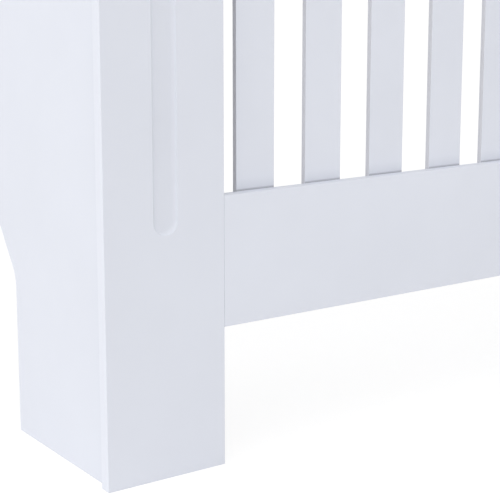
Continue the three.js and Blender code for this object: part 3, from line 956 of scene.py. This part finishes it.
def cut_through(piece, cutter_skin):
    """Takes the cutter's solid out of the piece and keeps the result, its cut edges sharp."""
    mesh = mesh_of("cutter", *cutter_skin)
    outward(mesh)
    cutter = put("cutter", mesh)
    cut = piece.modifiers.new("cut", "BOOLEAN")
    cut.object = cutter
    cut.solver = "EXACT"
    bpy.context.view_layer.update()
    graph = bpy.context.evaluated_depsgraph_get()
    result = bpy.data.meshes.new_from_object(piece.evaluated_get(graph), depsgraph=graph)
    result.set_sharp_from_angle(angle=SHARP_ANGLE)
    piece.modifiers.clear()
    piece.data = result
    piece.data.name = piece.name
    bpy.data.objects.remove(cutter)
    bpy.data.meshes.remove(mesh)


def wire(path):
    """Round wire along a path in a level plane: each ring is a circle square to the path there."""
    ahead = np.gradient(path, axis=0)
    ahead /= np.linalg.norm(ahead, axis=1)[:, None]
    up = np.array([0.0, 0.0, 1.0])
    side = np.cross(ahead, up)
    angle = angles_round(STAPLE_WIRE_POINTS)[None, :, None]
    circle = np.cos(angle) * side[:, None] + np.sin(angle) * up
    return shell(path[:, None] + STAPLE_WIRE * circle)


def staple(middle_x, face_y, height_z):
    """Staple driven into a slat's back: a flat crown and two legs that turn down into the wood."""
    half = STAPLE_CROWN / 2 - STAPLE_BEND
    turn = np.linspace(0, QUARTER, STAPLE_BEND_POINTS)
    bend_x = half + STAPLE_BEND * np.sin(turn)
    bend_y = -STAPLE_BEND * (1 - np.cos(turn))
    x = np.concatenate([-bend_x[-1:], -bend_x[::-1], bend_x, bend_x[-1:]])
    y = np.concatenate([[-STAPLE_LEG], bend_y[::-1], bend_y, [-STAPLE_LEG]])
    return wire(np.column_stack([x + middle_x, y + face_y, np.full(len(x), height_z)]))


def slat_staples(node):
    """Four staples on a slat's back, two across each rail."""
    low, high = box_of(node)
    lower_rail, upper_rail = box_of("bottom_rail"), box_of("top_rail")
    heights = [(low[2] + lower_rail[1][2]) / 2, (high[2] + upper_rail[0][2]) / 2]
    places = [low[0] + STAPLE_INSET, high[0] - STAPLE_INSET]
    return [staple(x, high[1], z) for z in heights for x in places]


for side, sign in SIDES.items():
    node = f"{side}_joint_block"
    make_piece(f"{node}_moulded", [joint_block(node)], block_plastic, "joint_plastic", node)
    node = f"{side}_wall_bracket"
    strip = bent_bracket(node, sign)
    bracket = make_piece(f"{node}_bent", [strip], bracket_zinc, "bracket_steel", node)
    cut_through(bracket, bracket_slot(node, sign))

for node in slats:
    make_piece(f"{node}_staples", slat_staples(node), zinc, "screw_steel")


# ---- Floor, world and lamps ----

FLOOR_HALF = 40  # half its width
FLOOR_LIT = 0.86  # its grey for the light that it throws back on the cabinet
FLOOR_SEEN = 1.02  # its brightness where it is seen in the open
FLOOR_SHADE_SHARE = 0.3  # how much of the seen white comes from the light that falls on it
WORLD_STRENGTH = 0.775
WORLD_LEAN = (-0.44, -0.28, 0.06)  # brighter to the left, to the front and above by so much
LAMP_AIM = np.array([0, 0, 0.4])
LAMPS = {  # place, width and height, and power
    "left_lamp": ((-3.0, 0.1, 1.3), (0.8, 2.0), 8),
    "right_lamp": ((3.0, 0.1, 1.1), (0.8, 1.6), 5),
    "top_lamp": ((0.3, -1.0, 2.8), (1.8, 1.2), 5),
}


def direct_view(tree):
    """1 for rays that show the background itself: from the camera, in gloss and through glass."""
    path = add_node(tree, "ShaderNodeLightPath")
    seen = path.outputs["Is Camera Ray"]
    for name in ("Is Glossy Ray", "Is Transmission Ray"):
        larger = add_node(tree, "ShaderNodeMath")
        larger.operation = "MAXIMUM"
        tree.links.new(seen, larger.inputs[0])
        tree.links.new(path.outputs[name], larger.inputs[1])
        seen = larger.outputs[0]
    return seen


def join_both(tree, lighting, seen, output):
    """Joins to the output one shader for the rays that light, and another for where it is seen."""
    choice = add_node(tree, "ShaderNodeMixShader")
    tree.links.new(direct_view(tree), choice.inputs[0])
    tree.links.new(lighting.outputs[0], choice.inputs[1])
    tree.links.new(seen.outputs[0], choice.inputs[2])
    tree.links.new(choice.outputs[0], output.inputs["Surface"])


def pale_floor():
    """Wide white floor, which keeps a soft share of the cabinet's shadow.

    Where it is seen, it glows by the full white less what its share of the falling light adds.
    """
    corners = np.array(rectangle((-FLOOR_HALF, -FLOOR_HALF), (FLOOR_HALF, FLOOR_HALF)))
    mesh = mesh_of("floor", np.column_stack([corners, np.zeros(4)]), [(0, 1, 2, 3)])
    material = bpy.data.materials.new("floor_white")
    tree = empty_tree(material)
    output = add_node(tree, "ShaderNodeOutputMaterial")
    lighting = add_node(tree, "ShaderNodeBsdfDiffuse", Color=grey(FLOOR_LIT))
    shade = add_node(tree, "ShaderNodeBsdfDiffuse", Color=grey(FLOOR_SHADE_SHARE))
    glow_strength = FLOOR_SEEN - FLOOR_SHADE_SHARE * WORLD_STRENGTH
    glow = add_node(tree, "ShaderNodeEmission", Strength=glow_strength)
    seen = add_node(tree, "ShaderNodeAddShader")
    tree.links.new(shade.outputs[0], seen.inputs[0])
    tree.links.new(glow.outputs[0], seen.inputs[1])
    join_both(tree, lighting, seen, output)
    mesh.materials.append(material)
    put("floor", mesh)


def white_world():
    """White all round where it is seen, and where it lights, a plain light that leans to one side.

    The light's strength in a direction is the even strength plus the direction's dot product with
    the lean.
    """
    world = bpy.data.worlds.new("white_room")
    bpy.context.scene.world = world
    tree = empty_tree(world)
    output = add_node(tree, "ShaderNodeOutputWorld")
    lighting = add_node(tree, "ShaderNodeBackground", Color=grey(1))
    direction = add_node(tree, "ShaderNodeTexCoord")
    lean = add_node(tree, "ShaderNodeVectorMath")
    lean.operation = "DOT_PRODUCT"
    lean.inputs[1].default_value = WORLD_LEAN
    tree.links.new(direction.outputs["Generated"], lean.inputs[0])
    strength = add_node(tree, "ShaderNodeMath")
    strength.operation = "ADD"
    strength.inputs[1].default_value = WORLD_STRENGTH
    tree.links.new(lean.outputs["Value"], strength.inputs[0])
    tree.links.new(strength.outputs[0], lighting.inputs["Strength"])
    seen = add_node(tree, "ShaderNodeBackground", Color=grey(1), Strength=1)
    join_both(tree, lighting, seen, output)


def soft_lamp(name, place, size, power):
    """Soft lamp with an oblong face, turned to the aim."""
    data = bpy.data.lights.new(name, "AREA")
    data.shape = "RECTANGLE"
    data.size, data.size_y = size
    data.energy = power
    lamp = put(name, data)
    lamp.location = place
    away = np.array(place) - LAMP_AIM
    flat = math.hypot(away[0], away[1])
    lamp.rotation_euler = (math.atan2(flat, away[2]), 0, math.atan2(away[0], -away[1]))


pale_floor()
white_world()
for name, (place, size, power) in LAMPS.items():
    soft_lamp(name, place, size, power)

# ---- View transform and end ----

bpy.context.scene.view_settings.view_transform = "Standard"
